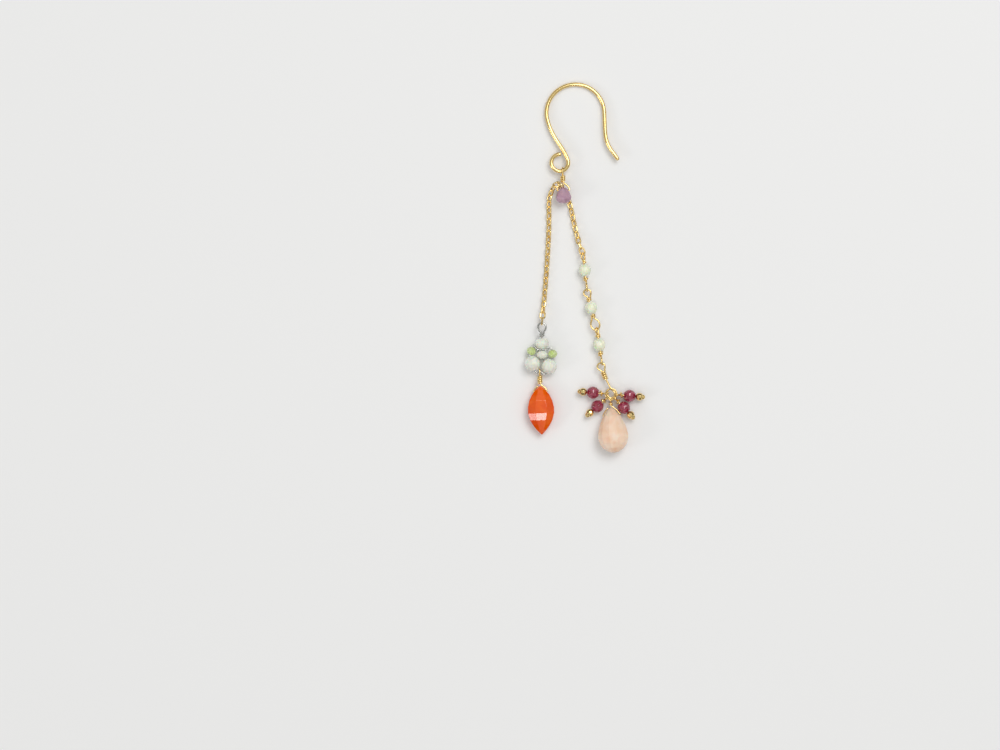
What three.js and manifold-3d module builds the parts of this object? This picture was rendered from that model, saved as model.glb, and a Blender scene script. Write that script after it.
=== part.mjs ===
// A drop earring, lying flat: an ear hook, an amethyst drop, and one fine chain with a beaded end on each side.
// Millimetres. X runs to the right, Y from the drops up to the hook, and Z up from the surface it lies on.

import * as THREE from 'three';
import { mergeVertices } from 'three/addons/utils/BufferGeometryUtils.js';
import Module from 'manifold-3d';

const wasm = await Module();
wasm.setup();

// Wires
const HOOK_WIRE = 0.8;
const FINE_WIRE = 0.36;
const SILVER_WIRE = 0.34;
const CHAIN_WIRE = 0.33;
const RUN_GAP = 0.06;
const COIL_GAP = 0.03;
const BORE_GAP = 0.07;
const ROUND_SIDES = 8;
const WIRE_SIDES = 5;
const BEAD_SIDES = 12;
const DROP_SIDES = 12;
const TURN_STEPS = 8;
const EYE_STEPS = 10;
const EYE_END = 250;

// Ear hook
const HOOK_BOW_RADIUS = 5.8;
const HOOK_TOE_LENGTH = 9.4;
const HOOK_TOE_FLARE = 2.8;
const HOOK_SHANK_DROP = 8.2;
const HOOK_SHANK_SLANT = 3.9;
const HOOK_LOOP_RADIUS = 1.72;
const HOOK_LOOP_FROM = 22;
const HOOK_LOOP_TO = -278;
const HOOK_STEPS = 16;
const HOOK_LIFT = 1.0;

// Amethyst drop
const AMETHYST_WIDTH = 3.1;
const AMETHYST_LENGTH = 3.3;
const AMETHYST_DEPTH = 2.4;
const AMETHYST_TURNS = 3;
const AMETHYST_HOLE = 0.62;
const AMETHYST_SLOPE = 0.17;
const AMETHYST_HEADING = 2;
const ARCH_ROOM = 0.95;
const DROP_ROOM = 0.27;

// Chain
const LINK_WIDTH = 1.28;
const LINK_PITCH = 1.18;
const CHAIN_BITE = 0.08;
const CHAIN_LONG_TURN = 20;
const CHAIN_SHORT_TURN = 120;
const LINK_STEPS = 10;

// Bead links
const LINK_BEAD = 2.45;
const LINK_BEAD_LENGTH = 2.35;

// Cluster
const CLUSTER_RING = 1.12;
const CLUSTER_EYE = 0.8;
const CLUSTER_TURNS = 4;
const CLUSTER_NECK = 1.9;
const CLUSTER_HEADING = 20;
const CLUSTER_JOINT = -12;
const RING_FROM = 78;
const RING_TO = -258;
const RING_STEPS = 14;
const FRONT_TURN = 0.78;
const FRONT_STEPS = 10;
const GARNET = 2.5;
const GARNET_LENGTH = 2.3;
const GARNET_EYE = 0.46;
const GARNET_TURNS = 1;
const LEFT_PAIR = 175;
const RIGHT_PAIR = -5;
const LEFT_SPREAD = 1.1;
const PIN_BALL = 1.55;
const PIN_NUB = 0.95;
const BALL_SIDES = 10;
const BALL_ROWS = 6;

// Peach drop
const PEACH_WIRE = 0.28;
const PEACH_WIDTH = 6.0;
const PEACH_LENGTH = 9.1;
const PEACH_DEPTH = 4.4;
const PEACH_TURNS = 1.5;
const PEACH_HOLE = 1.6;
const PEACH_ANGLE = 262;
const PEACH_HEADING = 4;
const PEACH_BELLY = 0.64;

// Beaded motif
const TOP_BEAD = 2.9;
const TOP_BEAD_LENGTH = 2.1;
const MIDDLE_BEAD = 2.3;
const MIDDLE_BEAD_LENGTH = 1.5;
const SIDE_BEAD = 3.15;
const SIDE_BEAD_LENGTH = 2.85;
const PERIDOT = 1.85;
const PERIDOT_LENGTH = 1.5;
const MOTIF_EYE = 0.82;
const MOTIF_STRETCH = 1.15;
const MOTIF_TURNS = 1.5;
const MOTIF_NECK = 0.2;

// Carnelian drop
const CARNELIAN_WIDTH = 5.2;
const CARNELIAN_LENGTH = 9.75;
const CARNELIAN_DEPTH = 3.15;
const CARNELIAN_TURNS = 4;
const CARNELIAN_HOLE = 1.05;
const CARNELIAN_EYE = 0.5;
const CARNELIAN_SIDES = 8;
const CARNELIAN_HEADING = 2;

const GOLD = { color: 0xe0ac50, roughness: 0.25, metalness: 1 };
const SILVER = { color: 0xb0b0a8, roughness: 0.3, metalness: 1 };
const AMETHYST = { color: 0xa8809a, roughness: 0.1, metalness: 0 };
const PALE_GREEN = { color: 0xdde3cc, roughness: 0.2, metalness: 0 };
const GREY_GREEN = { color: 0xd6d8c8, roughness: 0.25, metalness: 0 };
const PERIDOT_GREEN = { color: 0xc4dc7c, roughness: 0.15, metalness: 0 };
const GARNET_RED = { color: 0x8a2030, roughness: 0.1, metalness: 0 };
const PEACH = { color: 0xf0d0b0, roughness: 0.12, metalness: 0 };
const CARNELIAN = { color: 0xdd4200, roughness: 0.12, metalness: 0 };

const X = new THREE.Vector3(1, 0, 0);
const Y = new THREE.Vector3(0, 1, 0);
const Z = new THREE.Vector3(0, 0, 1);
const DEGREE = Math.PI / 180;
const earring = new THREE.Group();

const at = (x, y, z = 0) => new THREE.Vector3(x, y, z);

// A wire's centre line, whose steps fall exactly on its own points
class WireRun extends THREE.Curve {
  constructor(points) {
    super();
    this.points = points;
  }

  getPoint(t, target = new THREE.Vector3()) {
    const place = t * (this.points.length - 1);
    const from = Math.min(Math.floor(place), this.points.length - 2);
    return target.lerpVectors(this.points[from], this.points[from + 1], place - from);
  }

  getPointAt(t, target) {
    return this.getPoint(t, target);
  }

  getTangentAt(t, target = new THREE.Vector3()) {
    const last = this.points.length - 1;
    const here = Math.round(t * last);
    const before = this.points[Math.max(here - 1, 0)];
    const point = this.points[here];
    const after = this.points[Math.min(here + 1, last)];
    const arriving = point.clone().sub(before).normalize();
    const leaving = after.clone().sub(point).normalize();
    return target.copy(arriving).add(leaving).normalize();
  }
}

// Points on an arc from one angle to another, in degrees, in the plane of two directions
function arc(centre, across, along, radius, from, to, steps, stretch = 1) {
  const points = [];
  for (let i = 0; i <= steps; i += 1) {
    const angle = (from + (to - from) * (i / steps)) * DEGREE;
    points.push(centre.clone()
      .addScaledVector(across, radius * Math.cos(angle))
      .addScaledVector(along, radius * stretch * Math.sin(angle)));
  }
  return points;
}

// A swept wire of the given thickness along its centre line
function sweep(points, thickness, sides = WIRE_SIDES) {
  const section = new THREE.Shape();
  for (let i = 0; i < sides; i += 1) {
    const angle = (i / sides) * 2 * Math.PI;
    const corner = [thickness / 2 * Math.cos(angle), thickness / 2 * Math.sin(angle)];
    if (i === 0) section.moveTo(...corner);
    else section.lineTo(...corner);
  }
  section.closePath();
  const route = points.filter((p, i) => i === 0 || p.distanceTo(points[i - 1]) > 0.01);
  const settings = { steps: route.length - 1, curveSegments: 1, bevelEnabled: false };
  return new THREE.ExtrudeGeometry(section, { ...settings, extrudePath: new WireRun(route) });
}

function toSolid(geometry) {
  const bare = geometry.clone();
  bare.deleteAttribute('normal');
  bare.deleteAttribute('uv');
  const merged = mergeVertices(bare, 1e-4);
  const vertProperties = new Float32Array(merged.attributes.position.array);
  const triVerts = new Uint32Array(merged.index.array);
  return new wasm.Manifold(new wasm.Mesh({ numProp: 3, vertProperties, triVerts }));
}

function toGeometry(solid) {
  const mesh = solid.getMesh();
  const geometry = new THREE.BufferGeometry();
  geometry.setAttribute('position', new THREE.BufferAttribute(mesh.vertProperties, 3));
  geometry.setIndex(new THREE.BufferAttribute(mesh.triVerts, 1));
  geometry.computeVertexNormals();
  return geometry;
}

function piece(name, geometry, finish, parent) {
  const mesh = new THREE.Mesh(geometry, new THREE.MeshStandardMaterial(finish));
  mesh.name = name;
  parent.add(mesh);
  return mesh;
}

// A faceted bead with its bore along Y: a narrow flat at each end, two rows of facets and a girdle
function bead(diameter, length, bore, sides = BEAD_SIDES) {
  const radius = diameter / 2;
  const half = length / 2;
  const hole = bore / 2 + BORE_GAP;
  const profile = [
    [hole, -half], [Math.max(radius * 0.5, hole + 0.1), -half], [radius * 0.86, -half * 0.56],
    [radius, -half * 0.12], [radius, half * 0.12],
    [radius * 0.86, half * 0.56], [Math.max(radius * 0.5, hole + 0.1), half], [hole, half], [hole, -half],
  ];
  return new THREE.LatheGeometry(profile.map(([r, y]) => new THREE.Vector2(r, y)), sides);
}

// A wrapped eye above a coil on its neck, centred on the eye, with the stem running down -Y.
// Returned from the coil's tail, up round the eye and down to the stem's start.
function wrappedEye(radius, turns, roll, wire = FINE_WIRE, stretch = 1) {
  const face = X.clone().applyAxisAngle(Y, roll * DEGREE);
  const normal = Z.clone().applyAxisAngle(Y, roll * DEGREE);
  const coilRadius = (wire + COIL_GAP) / Math.cos(Math.PI / TURN_STEPS);
  const pitch = wire + COIL_GAP;
  const neckTop = -radius * stretch - wire * 0.75;
  const coil = [];
  for (let i = turns * TURN_STEPS; i >= 0; i -= 1) {
    const angle = (i / TURN_STEPS) * 2 * Math.PI;
    coil.push(at(0, neckTop - (i / TURN_STEPS) * pitch)
      .addScaledVector(face, coilRadius * Math.cos(angle))
      .addScaledVector(normal, coilRadius * Math.sin(angle)));
  }
  const start = Math.asin(Math.min(coilRadius / radius, 0.9)) / DEGREE;
  const ring = arc(at(0, 0), face, Y, radius, start - 90, EYE_END, EYE_STEPS, stretch);
  return [...coil, ...ring, at(0, neckTop)];
}

// How far below its centre a wrapped eye's coil ends
function eyeReach(radius, turns, wire = FINE_WIRE, stretch = 1) {
  return radius * stretch + wire * 0.75 + turns * (wire + COIL_GAP) + wire * 0.6;
}

const flipped = (points, shift) => points.map((p) => at(-p.x, -p.y - shift, p.z)).reverse();

// A group set down at a place, turned in the plane of the surface, with its own -Y as its hanging direction
function setDown(place, heading) {
  const group = new THREE.Group();
  group.position.copy(place);
  group.rotation.z = heading * DEGREE;
  earring.add(group);
  return group;
}

// The point at a distance along the hanging direction of such a group
function below(place, heading, distance) {
  return at(0, -distance).applyAxisAngle(Z, heading * DEGREE).add(place);
}

// Ear hook: a bow, a flared toe, a slanting shank and a loop whose end butts against the shank
const SHANK_FOOT = at(-HOOK_BOW_RADIUS + HOOK_SHANK_SLANT, -HOOK_SHANK_DROP);
const HOOK_LOOP = SHANK_FOOT.clone().add(at(-HOOK_LOOP_RADIUS * 0.7, -HOOK_LOOP_RADIUS));
const HOOK_LOOP_FOOT = HOOK_LOOP.clone().add(at(HOOK_LOOP_RADIUS * 0.32, -HOOK_LOOP_RADIUS * 0.98));
const hookSlope = HOOK_LIFT / (HOOK_BOW_RADIUS - HOOK_LOOP_FOOT.y);
const hookHeight = (y) => HOOK_WIRE / 2 + (HOOK_BOW_RADIUS - y) * hookSlope;

function hookRoute() {
  const toe = [[1, 1], [0.69, 0.87], [0.45, 0.78], [0.25, 0.67], [0.12, 0.56], [0.05, 0.42], [0.02, 0.2]]
    .map(([out, down]) => at(HOOK_BOW_RADIUS + HOOK_TOE_FLARE * out, -HOOK_TOE_LENGTH * down));
  const bow = arc(at(0, 0), X, Y, HOOK_BOW_RADIUS, 0, 180, HOOK_STEPS);
  const shank = [[0.03, 0.14], [0.2, 0.4], [0.5, 0.66], [0.84, 0.88]]
    .map(([over, down]) => at(-HOOK_BOW_RADIUS + HOOK_SHANK_SLANT * over, -HOOK_SHANK_DROP * down));
  const loop = arc(HOOK_LOOP, X, Y, HOOK_LOOP_RADIUS, HOOK_LOOP_FROM, HOOK_LOOP_TO, HOOK_STEPS);
  return [...toe, ...bow, ...shank, ...loop].map((p) => at(p.x, p.y, hookHeight(p.y)));
}

piece('ear_hook', sweep(hookRoute(), HOOK_WIRE, ROUND_SIDES), GOLD, earring);

// A faceted drop hanging along -Y from its top at the origin, from rows of how far down and how wide it is,
// as shares of its length and half its width, with a flat facet to the front and the back
function faceted(rows, width, length, depth, sides) {
  const flat = Math.cos(Math.PI / sides);
  const profile = rows.map(([down, wide]) => new THREE.Vector2(wide, -down * length)).reverse();
  const geometry = new THREE.LatheGeometry(profile, sides, Math.PI / sides);
  geometry.scale(width / 2 / flat, 1, depth / 2 / flat);
  return toSolid(geometry);
}

// Drilled across, for a wire of the given thickness
function drilled(solid, down, width, wire) {
  const drill = new THREE.CylinderGeometry(wire / 2 + BORE_GAP, wire / 2 + BORE_GAP, width * 2, ROUND_SIDES);
  drill.rotateZ(Math.PI / 2);
  drill.translate(0, -down, 0);
  return solid.subtract(toSolid(drill));
}

// Half the width of such a drop at a distance below its top
function halfWidthAt(rows, width, length, down) {
  const share = down / length;
  const next = rows.findIndex(([d]) => d >= share);
  const [d0, w0] = rows[next - 1];
  const [d1, w1] = rows[next];
  return (w0 + (w1 - w0) * (share - d0) / (d1 - d0)) * width / 2;
}

// How far out and down each arm goes: wide enough for a chain's link, or close to the stone
const OPEN_ARMS = [[0.35, 0.08], [0.72, 0.32], [0.94, 0.68], [1, 1]];
const CLOSE_ARMS = [[0.3, 0.1], [0.52, 0.3], [0.76, 0.6], [1, 1]];

// A wrapped eye whose stem opens into two arms and goes through the drop's drilled hole
function wrapRoute({ eye, turns, roll, hole, arms, wire }, top, halfWidth) {
  const reach = eyeReach(eye, turns, wire);
  const side = halfWidth + wire * 0.7;
  const holeY = -top - hole;
  const rise = holeY + reach;
  const right = arms.map(([out, down]) => at(side * out, -reach - wire * 0.5 + rise * down * 0.9));
  const left = right.map((p) => at(-p.x, p.y)).reverse();
  left[left.length - 1].x = Math.min(left[left.length - 1].x, -wire - RUN_GAP);
  return [...wrappedEye(eye, turns, roll, wire), at(0, -reach + wire * 0.3), ...right,
    at(halfWidth + BORE_GAP, holeY), at(-halfWidth - BORE_GAP, holeY), ...left];
}

const AMETHYST_ROWS = [[0, 0], [0.03, 0.3], [0.15, 0.62], [0.4, 0.84], [0.62, 1], [0.8, 0.9], [0.95, 0.55], [1, 0]];
const PEACH_ROWS = [[0, 0], [0.03, 0.14], [0.1, 0.34], [0.2, 0.6], [0.42, 0.88], [0.6, 1], [0.68, 1],
  [0.8, 0.9], [0.91, 0.66], [0.98, 0.3], [1, 0]];
const CARNELIAN_ROWS = [[0, 0], [0.02, 0.12], [0.08, 0.38], [0.19, 0.69], [0.3, 0.88], [0.44, 1], [0.56, 1],
  [0.7, 0.85], [0.8, 0.65], [0.9, 0.38], [0.98, 0.1], [1, 0]];

// A drop on its own wrapped wire, centred on the wire's eye
function wrappedDrop(name, size, rows, finish, parent) {
  const { width, length, depth, sides, eye, turns, hole, room, wire } = size;
  const top = eyeReach(eye, turns, wire) + room;
  const halfWidth = halfWidthAt(rows, width, length, hole);
  const solid = drilled(faceted(rows, width, length, depth, sides), hole, width, wire);
  const stone = toGeometry(solid);
  stone.translate(0, -top, 0);
  piece(`${name}_wrap`, sweep(wrapRoute(size, top, halfWidth), wire), GOLD, parent);
  piece(`${name}_drop`, stone, finish, parent);
}

// Amethyst, whose upright eye goes round the hook's loop
const AMETHYST_EYE = HOOK_WIRE / 2 + FINE_WIRE / 2 + 2 * RUN_GAP;
const amethystPlace = at(HOOK_LOOP_FOOT.x, HOOK_LOOP_FOOT.y, hookHeight(HOOK_LOOP_FOOT.y));
const amethystGroup = new THREE.Group();
amethystGroup.rotation.x = -AMETHYST_SLOPE;
setDown(amethystPlace, AMETHYST_HEADING).add(amethystGroup);
wrappedDrop('amethyst', {
  width: AMETHYST_WIDTH, length: AMETHYST_LENGTH, depth: AMETHYST_DEPTH, sides: DROP_SIDES,
  eye: AMETHYST_EYE, turns: AMETHYST_TURNS, roll: 90, hole: AMETHYST_HOLE, room: ARCH_ROOM,
  arms: OPEN_ARMS, wire: FINE_WIRE,
}, AMETHYST_ROWS, AMETHYST, amethystGroup);

// Chain: links in turn at a right angle, each biting a little into the next so that the strand is one solid
const LINE_HEIGHT = Math.max(LINK_BEAD, GARNET) / 2;
const MOTIF_HEIGHT = Math.max(CARNELIAN_DEPTH, SIDE_BEAD, TOP_BEAD) / 2;
const LINK_RADIUS = (LINK_WIDTH - CHAIN_WIRE) / 2;
const LINK_REACH = (LINK_PITCH + CHAIN_WIRE - CHAIN_BITE) / 2;
const CHAIN_REST = LINK_RADIUS * Math.SQRT1_2 + CHAIN_WIRE / 2;
const HOLD = new THREE.Vector3(-0.7, -eyeReach(AMETHYST_EYE, AMETHYST_TURNS) - 0.45, 0);
amethystGroup.updateWorldMatrix(true, false);
amethystGroup.localToWorld(HOLD);
const CHAIN_LONG_ROUTE = [
  HOLD, at(HOLD.x - 0.45, HOLD.y + 0.14, HOLD.z + 0.8), at(HOLD.x - 1.2, HOLD.y - 0.5, HOLD.z + 0.3),
  at(-5.1, -16.7, 1.15), at(-5.26, -17.9, CHAIN_REST + 0.18), at(-5.26, -19.5, CHAIN_REST + 0.02),
  at(-5.3, -23.5, CHAIN_REST), at(-5.58, -28.94, CHAIN_REST), at(-5.98, -34.54, CHAIN_REST),
  at(-6.3, -38.0, CHAIN_REST + 0.12), at(-6.5, -39.7, MOTIF_HEIGHT - 0.3), at(-6.62, -41.2, MOTIF_HEIGHT),
  at(-6.74, -42.4, MOTIF_HEIGHT),
];
const CHAIN_SHORT_ROUTE = [
  HOLD, at(HOLD.x + 0.4, HOLD.y - 0.36, HOLD.z - 0.78), at(-2.9, -16.0, CHAIN_REST + 0.14),
  at(-1.8, -16.6, CHAIN_REST + 0.05), at(-1.2, -17.9, CHAIN_REST + 0.03), at(-0.78, -19.54, CHAIN_REST + 0.03),
  at(-0.06, -22.94, CHAIN_REST + 0.07), at(0.4, -24.8, CHAIN_REST + 0.25), at(0.86, -26.3, LINE_HEIGHT),
  at(1.4, -27.8, LINE_HEIGHT),
];

function chainLink(centre, along, normal) {
  const link = new THREE.TorusGeometry(LINK_RADIUS, CHAIN_WIRE / 2, WIRE_SIDES, LINK_STEPS);
  const places = link.attributes.position;
  const stretch = LINK_REACH - LINK_RADIUS;
  for (let i = 0; i < places.count; i += 1) {
    places.setX(i, places.getX(i) + Math.sign(places.getX(i)) * stretch);
  }
  const across = normal.clone().cross(along).normalize();
  const upright = along.clone().cross(across);
  const turn = new THREE.Matrix4().makeBasis(along, across, upright);
  link.applyMatrix4(turn.setPosition(centre));
  return toSolid(link);
}

// The value nearest to a wanted one, by half turns
const nearestTurn = (value, wanted) => value - 180 * Math.round((value - wanted) / 180);

// A strand from its first link to its last, which ends at a set roll: 0 is upright, 90 lies flat
function strand(route, offset, startRoll, endRoll) {
  const curve = new THREE.CatmullRomCurve3(route);
  curve.arcLengthDivisions = 600;
  const length = curve.getLength();
  const count = Math.floor((length - offset) / LINK_PITCH);
  const endBase = nearestTurn(endRoll - 90 * count, 45);
  let solid = null;
  let last = null;
  for (let k = 0; k <= count; k += 1) {
    const middle = offset + k * LINK_PITCH;
    const centre = curve.getPointAt(middle / length);
    const before = curve.getPointAt(Math.max(middle - LINK_PITCH / 2, 0) / length);
    const after = curve.getPointAt(Math.min(middle + LINK_PITCH / 2, length) / length);
    const along = after.sub(before).normalize();
    const startShare = Math.max(1 - k / 3, 0);
    const endShare = Math.max(1 - (count - k) / 3, 0);
    const base = 45 + (startRoll - 45) * startShare + (endBase - 45) * endShare;
    const roll = (base + 90 * k) * DEGREE;
    const side = along.clone().cross(Z).normalize();
    const up = side.clone().cross(along);
    const normal = side.multiplyScalar(Math.cos(roll)).addScaledVector(up, Math.sin(roll));
    const link = chainLink(centre, along, normal);
    solid = solid ? solid.add(link) : link;
    last = { centre, along };
  }
  return { solid, last };
}

// The centre of an eye hooked on the end of a strand, lying at a set height
function eyeOnChain({ centre, along }, radius, heading, height, wire) {
  const grip = LINK_REACH - (CHAIN_WIRE + wire) / 2 - RUN_GAP;
  const place = below(centre.clone().addScaledVector(along, grip), heading, radius);
  return place.setZ(height);
}

const longStrand = strand(CHAIN_LONG_ROUTE, 0, CHAIN_LONG_TURN, 0);
const shortStrand = strand(CHAIN_SHORT_ROUTE, 2 * LINK_REACH - CHAIN_WIRE - RUN_GAP, CHAIN_SHORT_TURN, 90);
piece('chain_long', toGeometry(longStrand.solid), GOLD, earring);
piece('chain_short', toGeometry(shortStrand.solid), GOLD, earring);

// Bead links, from the top: each row gives the heading, the heading of its joint to the one above,
// and for each end the eye's radius, its stretch, its roll and the coil's turns
const LINK_ROWS = [
  {
    heading: 7,
    joint: 7,
    top: { radius: 0.8, stretch: 1, roll: 65, turns: 0.5 },
    foot: { radius: 1.0, stretch: 1, roll: 90, turns: 1.5 },
  },
  {
    heading: 14,
    joint: 4,
    top: { radius: 0.75, stretch: 1, roll: 0, turns: 1.5 },
    foot: { radius: 0.92, stretch: 1.25, roll: 0, turns: 1.5 },
  },
  {
    heading: 9,
    joint: 22,
    top: { radius: 0.58, stretch: 1, roll: 60, turns: 1.5 },
    foot: { radius: 0.85, stretch: 1, roll: 90, turns: 1.75 },
  },
];
const [firstRow] = LINK_ROWS;
const LINK_ONE = eyeOnChain(shortStrand.last, firstRow.top.radius, firstRow.heading, LINE_HEIGHT, FINE_WIRE);

// From the centre of one eye to that of the eye hooked in it: an upright eye keeps to its own heading
function nextEye(place, upper, lower) {
  const wires = FINE_WIRE + 2 * RUN_GAP;
  const first = below(place, upper.heading, upper.radius - wires);
  return below(first, lower.heading, lower.radius);
}

function beadLink(index, place, { heading, top, foot }) {
  const upper = eyeReach(top.radius, top.turns, FINE_WIRE, top.stretch);
  const lower = eyeReach(foot.radius, foot.turns, FINE_WIRE, foot.stretch);
  const length = upper + LINK_BEAD_LENGTH + lower + 2 * RUN_GAP;
  const group = setDown(place, heading);
  const topWrap = wrappedEye(top.radius, top.turns, top.roll, FINE_WIRE, top.stretch);
  const footWrap = wrappedEye(foot.radius, foot.turns, foot.roll, FINE_WIRE, foot.stretch);
  piece(`link_wire_${index}`, sweep([...topWrap, ...flipped(footWrap, length)], FINE_WIRE), GOLD, group);
  const stone = bead(LINK_BEAD, LINK_BEAD_LENGTH, FINE_WIRE);
  stone.translate(0, -upper - RUN_GAP - LINK_BEAD_LENGTH / 2, 0);
  piece(`link_bead_${index}`, stone, PALE_GREEN, group);
  return below(place, heading, length);
}

let eyePlace = LINK_ONE;
LINK_ROWS.forEach((row, i) => {
  const end = beadLink(i + 1, eyePlace, row);
  const next = LINK_ROWS[i + 1];
  const joint = next ? next.joint : CLUSTER_JOINT;
  const upperHeading = row.foot.roll > 0 ? row.heading : joint;
  const lowerHeading = next && next.top.roll > 0 ? next.heading : joint;
  const upper = { radius: row.foot.radius * row.foot.stretch, heading: upperHeading };
  eyePlace = nextEye(end, upper, { radius: next ? next.top.radius : CLUSTER_EYE, heading: lowerHeading });
});

// Cluster wire: a flat eye, a coil, a neck, the ring that carries the cluster and a smaller turn in front of it
const CLUSTER_PLACE = eyePlace;
const clusterReach = eyeReach(CLUSTER_EYE, CLUSTER_TURNS);
const RING_DROP = clusterReach + CLUSTER_NECK + CLUSTER_RING;
const RING_PLACE = below(CLUSTER_PLACE, CLUSTER_HEADING, RING_DROP);

function clusterRoute() {
  const neck = at(FINE_WIRE * 0.6, -clusterReach - CLUSTER_NECK * 0.5);
  const ring = arc(at(0, -RING_DROP), X, Y, CLUSTER_RING, RING_FROM, RING_TO, RING_STEPS);
  const inFront = GARNET_EYE + FINE_WIRE + RUN_GAP;
  const climb = at(FINE_WIRE * 0.8, -RING_DROP + CLUSTER_RING, FINE_WIRE + RUN_GAP);
  const front = arc(at(0, -RING_DROP, inFront), X, Y, FRONT_TURN, 40, -240, FRONT_STEPS);
  return [...wrappedEye(CLUSTER_EYE, CLUSTER_TURNS, 0), at(0, -clusterReach), neck, ...ring, climb, ...front];
}

piece('cluster_wire', sweep(clusterRoute(), FINE_WIRE), GOLD, setDown(CLUSTER_PLACE, CLUSTER_HEADING));

// Garnet pins, which hang from the ring in two pairs and end in a ball with a smaller one melted to its tip
const garnetReach = eyeReach(GARNET_EYE, GARNET_TURNS);
const GARNET_OUT = CLUSTER_RING + garnetReach + RUN_GAP + GARNET_LENGTH / 2;
const pairAngle = 2 * Math.asin((GARNET + RUN_GAP * 2) / 2 / GARNET_OUT) / DEGREE;

function garnetPin(index, angle) {
  const place = RING_PLACE.clone().add(at(CLUSTER_RING, 0).applyAxisAngle(Z, angle * DEGREE));
  const group = setDown(place, angle + 90);
  const beadFoot = -garnetReach - RUN_GAP - GARNET_LENGTH;
  const ballCentre = beadFoot - RUN_GAP - PIN_BALL / 2;
  const route = [...wrappedEye(GARNET_EYE, GARNET_TURNS, 90), at(0, ballCentre)];
  const ball = new THREE.SphereGeometry(PIN_BALL / 2, BALL_SIDES, BALL_ROWS);
  ball.translate(0, ballCentre, 0);
  const nub = new THREE.SphereGeometry(PIN_NUB / 2, BALL_SIDES, BALL_ROWS);
  nub.translate(0, ballCentre - PIN_BALL * 0.42, 0);
  const pin = toSolid(sweep(route, FINE_WIRE)).add(toSolid(ball)).add(toSolid(nub));
  piece(`garnet_pin_${index}`, toGeometry(pin), GOLD, group);
  const stone = bead(GARNET, GARNET_LENGTH, FINE_WIRE);
  stone.translate(0, beadFoot + GARNET_LENGTH / 2, 0);
  piece(`garnet_bead_${index}`, stone, GARNET_RED, group);
}

[LEFT_PAIR, LEFT_PAIR + pairAngle * LEFT_SPREAD, RIGHT_PAIR, RIGHT_PAIR - pairAngle]
  .forEach((angle, i) => garnetPin(i + 1, angle));

// Peach drop, hung from the ring between the pairs
const peachDistance = eyeReach(GARNET_EYE, PEACH_TURNS, PEACH_WIRE) + DROP_ROOM + PEACH_LENGTH * PEACH_BELLY;
const peachRise = PEACH_DEPTH / 2 - LINE_HEIGHT;
const peachGroup = new THREE.Group();
const peachPlace = RING_PLACE.clone().add(at(CLUSTER_RING, 0).applyAxisAngle(Z, PEACH_ANGLE * DEGREE));
wrappedDrop('peach', {
  width: PEACH_WIDTH, length: PEACH_LENGTH, depth: PEACH_DEPTH, sides: DROP_SIDES,
  eye: GARNET_EYE, turns: PEACH_TURNS, roll: 90, hole: PEACH_HOLE, room: DROP_ROOM,
  arms: CLOSE_ARMS, wire: PEACH_WIRE,
}, PEACH_ROWS, PEACH, peachGroup);
peachGroup.rotation.x = -Math.asin(peachRise / peachDistance);
setDown(peachPlace, PEACH_HEADING).add(peachGroup);

// Motif: a silver wire with a wrapped eye and a stem, and a loop below it that strings the outer beads
const MOTIF_PLACE = eyeOnChain(longStrand.last, MOTIF_EYE * MOTIF_STRETCH, 0, MOTIF_HEIGHT, SILVER_WIRE);
const SIDE_ROWS = [
  { name: 'left', shoulder: [-1.52, -3.85], peridot: [-2.12, -4.72, -0.45], bead: [-1.9, -7.2, 0.31] },
  { name: 'right', shoulder: [1.62, -4.1], peridot: [2.14, -5.27, 0.08], bead: [1.42, -7.78, -0.35] },
];
const motifGroup = setDown(MOTIF_PLACE, 0);
const topBeadTop = eyeReach(MOTIF_EYE, MOTIF_TURNS, SILVER_WIRE, MOTIF_STRETCH) + MOTIF_NECK;
const loopStart = -topBeadTop - TOP_BEAD_LENGTH - SILVER_WIRE / 2 - RUN_GAP;
const middleTop = loopStart - SILVER_WIRE / 2 - RUN_GAP;

// The two ends of a bead's wire, from its centre and the sideways lean of its bore
function boreEnds([x, y, lean], length) {
  const along = at(lean, -1).normalize();
  const half = length / 2 + RUN_GAP;
  return [at(x, y).addScaledVector(along, -half), at(x, y).addScaledVector(along, half)];
}

const MOTIF_ARCH = [[-1.05, -9.12], [-0.75, -8.98], [-0.45, -8.78], [-0.15, -8.98], [0.2, -9.22], [0.55, -9.4]];

function motifSolid() {
  const eye = wrappedEye(MOTIF_EYE, MOTIF_TURNS, 0, SILVER_WIRE, MOTIF_STRETCH);
  const stemEnd = middleTop - MIDDLE_BEAD_LENGTH - RUN_GAP;
  const stem = sweep([...eye, at(0, stemEnd)], SILVER_WIRE);
  const [left, right] = SIDE_ROWS;
  const loop = [
    at(0, loopStart), at(-1.0, loopStart + 0.05), at(...left.shoulder),
    ...boreEnds(left.peridot, PERIDOT_LENGTH),
    ...boreEnds(left.bead, SIDE_BEAD_LENGTH), ...MOTIF_ARCH.map(([x, y]) => at(x, y)),
    ...boreEnds(right.bead, SIDE_BEAD_LENGTH).reverse(),
    ...boreEnds(right.peridot, PERIDOT_LENGTH).reverse(), at(...right.shoulder), at(1.0, loopStart + 0.05),
    at(0, loopStart),
  ];
  return toSolid(stem).add(toSolid(sweep(loop, SILVER_WIRE)));
}

function motifBead(name, diameter, length, centre, lean, finish) {
  const stone = bead(diameter, length, SILVER_WIRE);
  stone.rotateZ(Math.atan(lean));
  stone.translate(centre[0], centre[1], 0);
  piece(name, stone, finish, motifGroup);
}

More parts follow.
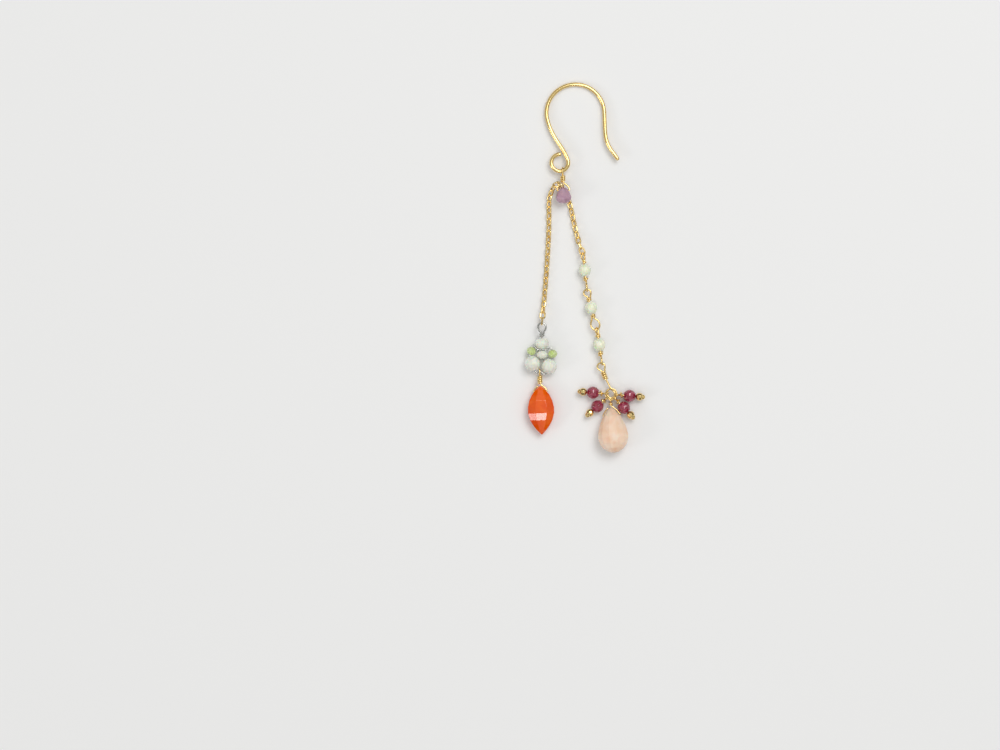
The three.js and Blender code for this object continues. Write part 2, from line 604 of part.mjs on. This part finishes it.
piece('motif_wire', toGeometry(motifSolid()), SILVER, motifGroup);
motifBead('motif_bead_top', TOP_BEAD, TOP_BEAD_LENGTH, [0, -topBeadTop - TOP_BEAD_LENGTH / 2], 0, GREY_GREEN);
motifBead('motif_bead_middle', MIDDLE_BEAD, MIDDLE_BEAD_LENGTH,
  [0, middleTop - MIDDLE_BEAD_LENGTH / 2], 0, GREY_GREEN);
SIDE_ROWS.forEach(({ name, peridot, bead: side }) => {
  motifBead(`peridot_${name}`, PERIDOT, PERIDOT_LENGTH, peridot, peridot[2], PERIDOT_GREEN);
  motifBead(`motif_bead_${name}`, SIDE_BEAD, SIDE_BEAD_LENGTH, side, side[2], GREY_GREEN);
});

// Carnelian, whose upright eye hangs on the motif's arch
const [archX, archY] = MOTIF_ARCH[2];
const carnelianHang = CARNELIAN_EYE - (FINE_WIRE + SILVER_WIRE) / 2 - RUN_GAP;
const carnelianPlace = MOTIF_PLACE.clone().add(at(archX, archY - carnelianHang));
wrappedDrop('carnelian', {
  width: CARNELIAN_WIDTH, length: CARNELIAN_LENGTH, depth: CARNELIAN_DEPTH, sides: CARNELIAN_SIDES,
  eye: CARNELIAN_EYE, turns: CARNELIAN_TURNS, roll: 90, hole: CARNELIAN_HOLE, room: DROP_ROOM,
  arms: CLOSE_ARMS, wire: FINE_WIRE,
}, CARNELIAN_ROWS, CARNELIAN, setDown(carnelianPlace, CARNELIAN_HEADING));

// The origin is under the middle of the whole, on the surface
const whole = new THREE.Box3().setFromObject(earring, true);
const middle = whole.getCenter(new THREE.Vector3());
earring.position.set(-middle.x, -middle.y, -whole.min.z);

export default earring;
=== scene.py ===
import math

import bmesh
import bpy
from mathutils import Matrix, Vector


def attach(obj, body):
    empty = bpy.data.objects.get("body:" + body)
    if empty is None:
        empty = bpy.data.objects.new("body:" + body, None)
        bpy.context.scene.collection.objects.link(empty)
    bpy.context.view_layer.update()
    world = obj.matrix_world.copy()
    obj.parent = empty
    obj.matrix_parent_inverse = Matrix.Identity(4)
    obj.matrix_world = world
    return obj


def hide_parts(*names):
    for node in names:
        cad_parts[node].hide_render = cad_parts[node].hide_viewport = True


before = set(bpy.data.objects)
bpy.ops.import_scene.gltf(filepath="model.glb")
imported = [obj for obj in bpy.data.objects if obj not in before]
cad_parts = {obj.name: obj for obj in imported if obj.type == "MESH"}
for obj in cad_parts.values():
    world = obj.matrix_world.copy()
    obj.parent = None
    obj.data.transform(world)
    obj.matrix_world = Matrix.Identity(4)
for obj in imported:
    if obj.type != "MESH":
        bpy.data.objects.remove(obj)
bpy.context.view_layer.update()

# Studio
# A jeweller's flat lay: a matt pale board seen from straight above through a long lens. A wide soft light
# hangs overhead, to the upper right, with a small window near the foot and one low on the left. Dim walls
# leave dark edges on polished wire.
MM = 0.001
PICTURE_WIDTH = 200 * MM
CAMERA_HEIGHT = 1.2
CAMERA_PLACE = (-16.95 * MM, -21.51 * MM)
SENSOR = 36.0
CLIP_END = 10
BOARD_COLOUR = "#EFEFEF"
BOARD_ROUGHNESS = 0.9
BOARD_SHINE = 0.1
BOARD_SIZE = 3.0
BOARD_DROP = 0.02 * MM

# Each light's place and its two sides in metres, and its power in watts.
LIGHTS = {
    "overhead_softbox": ((0.26, 0.36, 0.82), (0.5, 0.5), 3.65),
    "window": ((-0.02, -0.3, 0.84), (0.16, 0.12), 0.55),
    "side_window": ((-0.75, -0.28, 0.42), (0.24, 0.18), 0.8),
}

# The walls' glow, from the floor's tone at one height of the view direction to the ceiling's at the other.
FLOOR_AT = 0.12
FLOOR_TONE = "#241E16"
CEILING_AT = 0.6
CEILING_TONE = "#F4F4F2"
WALL_GLOW = 0.66


def linear(hex_colour):
    """An sRGB hex value as linear red, green, blue and full alpha."""
    parts = [int(hex_colour[i:i + 2], 16) / 255 for i in (1, 3, 5)]
    return tuple(((c + 0.055) / 1.055) ** 2.4 if c > 0.04045 else c / 12.92 for c in parts) + (1.0,)


def add_node(tree, kind, settings=None, links=None):
    """Adds a node, sets its sockets or properties by name, and links its inputs from other nodes' outputs."""
    node = tree.nodes.new(kind)
    for key, value in (settings or {}).items():
        if key in node.inputs:
            node.inputs[key].default_value = value
        else:
            setattr(node, key, value)
    for key, source in (links or {}).items():
        tree.links.new(source, node.inputs[key])
    return node


def new_material(name):
    """An empty node material and its node tree, ready for a shader and an output."""
    material = bpy.data.materials.new(name)
    material.use_nodes = True
    material.node_tree.nodes.clear()
    return material, material.node_tree


lens = bpy.data.cameras.new("overhead_camera")
lens.sensor_width = SENSOR
lens.lens = SENSOR * CAMERA_HEIGHT / PICTURE_WIDTH
lens.clip_end = CLIP_END
camera = bpy.data.objects.new("overhead_camera", lens)
camera.location = (CAMERA_PLACE[0], CAMERA_PLACE[1], CAMERA_HEIGHT)
bpy.context.scene.collection.objects.link(camera)
bpy.context.scene.camera = camera
bpy.context.scene.view_settings.view_transform = "Standard"


def soft_light(name, place, size, power):
    """A rectangular white light that faces the middle of the part."""
    lamp = bpy.data.lights.new(name, "AREA")
    lamp.shape = "RECTANGLE"
    lamp.size, lamp.size_y = size
    lamp.energy = power
    holder = bpy.data.objects.new(name, lamp)
    holder.location = place
    holder.rotation_euler = (-Vector(place)).to_track_quat("-Z", "Y").to_euler()
    bpy.context.scene.collection.objects.link(holder)


for light, (place, size, power) in LIGHTS.items():
    soft_light(light, place, size, power)

world = bpy.data.worlds.new("dim_walls")
bpy.context.scene.world = world
world.use_nodes = True
walls = world.node_tree
walls.nodes.clear()
direction = add_node(walls, "ShaderNodeTexCoord")
height = add_node(walls, "ShaderNodeSeparateXYZ", None, {"Vector": direction.outputs["Generated"]})
ramp = add_node(walls, "ShaderNodeValToRGB", None, {"Fac": height.outputs["Z"]})
ramp.color_ramp.elements[0].position = FLOOR_AT
ramp.color_ramp.elements[0].color = linear(FLOOR_TONE)
ramp.color_ramp.elements[1].position = CEILING_AT
ramp.color_ramp.elements[1].color = linear(CEILING_TONE)
glow = add_node(walls, "ShaderNodeBackground", {"Strength": WALL_GLOW}, {"Color": ramp.outputs["Color"]})
add_node(walls, "ShaderNodeOutputWorld", None, {"Surface": glow.outputs["Background"]})

card, card_tree = new_material("matt_card")
card_shader = add_node(card_tree, "ShaderNodeBsdfPrincipled", {
    "Base Color": linear(BOARD_COLOUR), "Roughness": BOARD_ROUGHNESS, "Specular IOR Level": BOARD_SHINE})
add_node(card_tree, "ShaderNodeOutputMaterial", None, {"Surface": card_shader.outputs["BSDF"]})
board_form = bmesh.new()
bmesh.ops.create_grid(board_form, x_segments=1, y_segments=1, size=BOARD_SIZE / 2)
bmesh.ops.translate(board_form, vec=(0, 0, -BOARD_DROP), verts=board_form.verts)
board_mesh = bpy.data.meshes.new("board")
board_form.to_mesh(board_mesh)
board_form.free()
board_mesh.materials.append(card)
board = bpy.data.objects.new("board", board_mesh)
bpy.context.scene.collection.objects.link(board)

# Ear hook
# One length of round gold-plated silver wire, bent round a mandrel, with a loop at its foot that butts
# against the shank. Drawing the wire leaves faint lengthwise marks under a high polish.
HOOK_RADIUS = 0.4 * MM
HOOK_SIDES = 8
WELD = 0.002 * MM
GOLD_COLOUR = "#FBE7A8"
GOLD_DEEP = "#EDC274"
GOLD_ROUGHNESS = 0.14
DRAW_MARK = 0.12 * MM
MARK_DETAIL = 3.0
MARK_STRENGTH = 0.12
MARK_DEPTH = 0.01 * MM
TONE_PATCH = 1.6 * MM
TONE_DETAIL = 2.0
FLAT_LIMIT = 0.7
SHAPE_LIMIT = 0.9
ROUNDING_LEVELS = 2


def drawn_metal(name, light, deep, roughness):
    """Polished drawn wire: a metal that shifts a little in tone and has faint draw marks as bump."""
    material, tree = new_material(name)
    place = add_node(tree, "ShaderNodeTexCoord").outputs["Object"]
    tone = add_node(tree, "ShaderNodeTexNoise", {"Scale": 1 / TONE_PATCH, "Detail": TONE_DETAIL},
                    {"Vector": place})
    blend = add_node(tree, "ShaderNodeMix", {"data_type": "RGBA", "blend_type": "MIX"})
    blend.inputs[6].default_value = linear(light)
    blend.inputs[7].default_value = linear(deep)
    tree.links.new(tone.outputs["Fac"], blend.inputs[0])
    marks = add_node(tree, "ShaderNodeTexNoise", {"Scale": 1 / DRAW_MARK, "Detail": MARK_DETAIL},
                     {"Vector": place})
    bump = add_node(tree, "ShaderNodeBump", {"Strength": MARK_STRENGTH, "Distance": MARK_DEPTH},
                    {"Height": marks.outputs["Fac"]})
    shader = add_node(tree, "ShaderNodeBsdfPrincipled", {"Metallic": 1.0, "Roughness": roughness},
                      {"Base Color": blend.outputs[2], "Normal": bump.outputs["Normal"]})
    add_node(tree, "ShaderNodeOutputMaterial", None, {"Surface": shader.outputs["BSDF"]})
    return material


def copy_of(node):
    """A welded copy of a node's mesh, for a piece that takes the node's place."""
    form = bmesh.new()
    form.from_mesh(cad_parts[node].data)
    bmesh.ops.remove_doubles(form, verts=form.verts, dist=WELD)
    return form


def finished(form, node, suffix, material, smooth=True):
    """Makes the form a piece that stands for its node and rides on the one body."""
    mesh = bpy.data.meshes.new(f"{node}_{suffix}")
    form.normal_update()
    form.to_mesh(mesh)
    form.free()
    for attribute in [a.name for a in mesh.attributes if a.name == "custom_normal"]:
        mesh.attributes.remove(mesh.attributes[attribute])
    for face in mesh.polygons:
        face.use_smooth = smooth
    mesh.materials.clear()
    mesh.materials.append(material)
    piece = bpy.data.objects.new(f"{node}_{suffix}", mesh)
    bpy.context.scene.collection.objects.link(piece)
    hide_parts(node)
    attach(piece, "root")
    return piece


def round_wire(node, radius, sides, material):
    """A smooth round wire on the node's own bends, swelled first so that the rounding keeps its thickness."""
    form = copy_of(node)
    bmesh.ops.join_triangles(form, faces=form.faces, angle_face_threshold=FLAT_LIMIT,
                             angle_shape_threshold=SHAPE_LIMIT)
    form.normal_update()
    kept = (4 + 2 * math.cos(2 * math.pi / sides)) / 6
    swell = radius / kept - radius
    for vertex in form.verts:
        vertex.co += vertex.normal * swell
    piece = finished(form, node, "round", material)
    rounding = piece.modifiers.new("rounding", "SUBSURF")
    rounding.levels = ROUNDING_LEVELS
    rounding.render_levels = ROUNDING_LEVELS
    return piece


gold_plate = drawn_metal("gold_plated_silver_wire", GOLD_COLOUR, GOLD_DEEP, GOLD_ROUGHNESS)
round_wire("ear_hook", HOOK_RADIUS, HOOK_SIDES, gold_plate)

# Fine gold wires
# Soft gold-plated wire of about 0.36 mm, turned into eyes with pliers and wrapped round its own neck.
# The peach drop's wire is thinner, 0.28 mm.
# It carries the drops and the bead links, and the cluster's ring.
FINE_RADIUS = 0.18 * MM
FINE_SIDES = 5
PEACH_WIRE_RADIUS = 0.14 * MM
FINE_WIRES = ["amethyst_wrap", "link_wire_1", "link_wire_2", "link_wire_3", "cluster_wire", "carnelian_wrap"]
for wire in FINE_WIRES:
    round_wire(wire, FINE_RADIUS, FINE_SIDES, gold_plate)
round_wire("peach_wrap", PEACH_WIRE_RADIUS, FINE_SIDES, gold_plate)

# Chain and ball pins
# Fine cable chain of round wire links, and head pins whose ends were melted into balls in a flame.
# Both are flowed together at their joints, which a fine voxel skin with a little smoothing follows.
SKIN = 0.045 * MM
SKIN_SWELL = 0.035 * MM
SKIN_PASSES = 3
SKIN_EASE = 0.5


def flowed_metal(node, material):
    """Metal with rounded, flowed joints on the node's own form."""
    form = copy_of(node)
    form.normal_update()
    for vertex in form.verts:
        vertex.co += vertex.normal * SKIN_SWELL
    piece = finished(form, node, "flowed", material)
    skin = piece.modifiers.new("skin", "REMESH")
    skin.mode = "VOXEL"
    skin.voxel_size = SKIN
    skin.use_smooth_shade = True
    ease = piece.modifiers.new("ease", "SMOOTH")
    ease.factor = SKIN_EASE
    ease.iterations = SKIN_PASSES
    return piece


for strand in ("chain_long", "chain_short"):
    flowed_metal(strand, gold_plate)
for index in range(1, 5):
    flowed_metal(f"garnet_pin_{index}", gold_plate)

# Motif wire
# Silver-coloured wire, which strings the beaded motif and makes its eye and the arch for the lower drop.
SILVER_COLOUR = "#D6D6D2"
SILVER_DEEP = "#9C9C98"
SILVER_ROUGHNESS = 0.16
silver = drawn_metal("silver_wire", SILVER_COLOUR, SILVER_DEEP, SILVER_ROUGHNESS)
flowed_metal("motif_wire", silver)

# Stones
# Polished and faceted quartz, garnet, peridot, prehnite and chalcedony, each drilled for its wire.
# Facets are ground on a lap, so they are flat, with edges softened by a few hundredths of a millimetre on
# the small stones and by a quarter of one on the peach drop.
FACET_JOIN = math.radians(1.5)
EDGE_ANGLE = math.radians(4)
BODY_AT = 0.35
VEIL_AT = 0.68
CLOUD_DETAIL = 3.0
CLOUD_TWIST = 0.6
SCATTER_DEPTH = (1.0 * MM, 0.7 * MM, 0.5 * MM)


def gem(name, body, veil, patch, roughness, **extra):
    """A stone whose colour drifts between its body and a veil, in clouds of the given size."""
    material, tree = new_material(name)
    place = add_node(tree, "ShaderNodeTexCoord").outputs["Object"]
    cloud = add_node(tree, "ShaderNodeTexNoise", {
        "Scale": 1 / patch, "Detail": CLOUD_DETAIL, "Distortion": CLOUD_TWIST}, {"Vector": place})
    tone = add_node(tree, "ShaderNodeValToRGB", None, {"Fac": cloud.outputs["Fac"]})
    tone.color_ramp.elements[0].position = BODY_AT
    tone.color_ramp.elements[0].color = linear(body)
    tone.color_ramp.elements[1].position = VEIL_AT
    tone.color_ramp.elements[1].color = linear(veil)
    settings = {"Roughness": roughness, "Subsurface Radius": SCATTER_DEPTH, "Subsurface Scale": 1.0}
    settings.update({key.replace("_", " "): value for key, value in extra.items()})
    shader = add_node(tree, "ShaderNodeBsdfPrincipled", settings, {"Base Color": tone.outputs["Color"]})
    add_node(tree, "ShaderNodeOutputMaterial", None, {"Surface": shader.outputs["BSDF"]})
    return material


def cut_stone(node, material, edge, segments=2):
    """The node's facets as whole flats, with their edges eased."""
    form = copy_of(node)
    bmesh.ops.dissolve_limit(form, angle_limit=FACET_JOIN, verts=form.verts, edges=form.edges)
    piece = finished(form, node, "cut", material, smooth=False)
    eased = piece.modifiers.new("eased_edges", "BEVEL")
    eased.width = edge
    eased.segments = segments
    eased.limit_method = "ANGLE"
    eased.angle_limit = EDGE_ANGLE
    return piece


amethyst = gem("polished_amethyst", "#C8A0B8", "#E6C4D8", 1.6 * MM, 0.05, Transmission_Weight=0.45, IOR=1.54)
cut_stone("amethyst_drop", amethyst, 0.05 * MM)

milky_green = gem("milky_prehnite", "#E4EACC", "#F2F5E2", 1.2 * MM, 0.24, Subsurface_Weight=0.6, IOR=1.62)
for index in range(1, 4):
    cut_stone(f"link_bead_{index}", milky_green, 0.08 * MM, 3)

garnet = gem("polished_garnet", "#A8203E", "#DA6080", 0.8 * MM, 0.04, Transmission_Weight=0.5, IOR=1.76)
for index in range(1, 5):
    cut_stone(f"garnet_bead_{index}", garnet, 0.04 * MM)

peach = gem("milky_peach_quartz", "#F0CBAE", "#F7E0CC", 2.6 * MM, 0.1, Subsurface_Weight=0.5, IOR=1.54)
cut_stone("peach_drop", peach, 0.25 * MM, 3)

grey_green = gem("milky_chalcedony", "#E0E2D6", "#EEEFE6", 1.4 * MM, 0.24, Subsurface_Weight=0.6, IOR=1.54)
for which in ("top", "middle", "left", "right"):
    cut_stone(f"motif_bead_{which}", grey_green, 0.12 * MM, 3)

peridot = gem("polished_peridot", "#E0F898", "#F8FFD0", 0.6 * MM, 0.05, Transmission_Weight=0.45, IOR=1.67)
for side in ("left", "right"):
    cut_stone(f"peridot_{side}", peridot, 0.04 * MM)

carnelian = gem("polished_carnelian", "#E44C00", "#F2680C", 3.0 * MM, 0.05, Subsurface_Weight=0.1, IOR=1.6)
cut_stone("carnelian_drop", carnelian, 0.1 * MM, 3)
